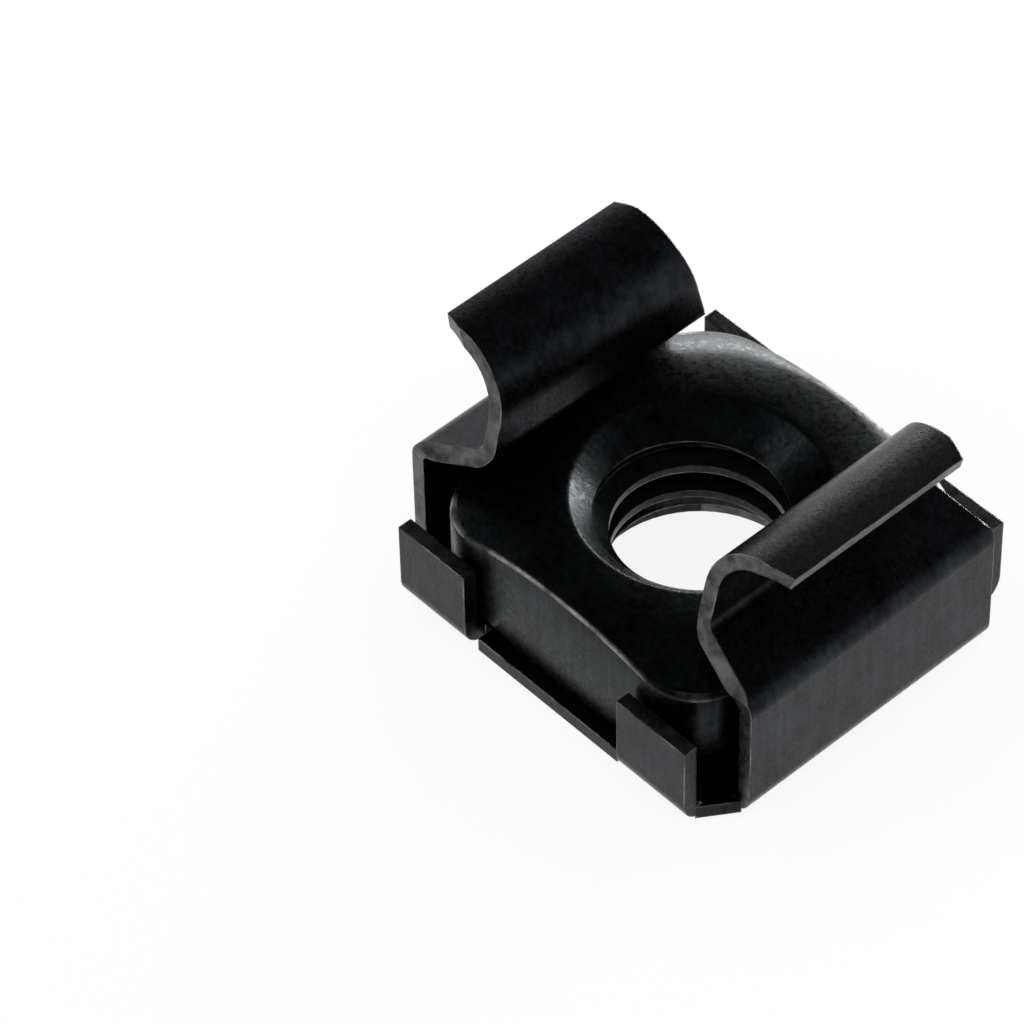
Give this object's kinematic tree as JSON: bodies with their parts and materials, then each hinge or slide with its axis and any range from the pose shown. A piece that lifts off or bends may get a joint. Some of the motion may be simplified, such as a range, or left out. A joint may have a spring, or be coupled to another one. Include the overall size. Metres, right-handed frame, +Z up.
{
  "type": "rack cage nut",
  "caption": "Square threaded nut held loose in a folded spring steel cage whose hooked ears snap into a square rack hole.",
  "frame": {"origin": "centre of the base plate on its underside, on the thread axis", "axes": "+Z up along the thread axis towards the ears, +X across the two ears, +Y along the ears"},
  "size_m": [0.0132, 0.012, 0.0085],
  "materials": {
    "cage_steel": "black oxide on spring steel, satin, worn at the sheared edges",
    "nut_steel": "black oxide on steel, satin, bare metal on the worn top edge"
  },
  "bodies": {
    "root": {"cage": "cage_steel", "square_nut": "nut_steel"}
  },
  "joints": []
}
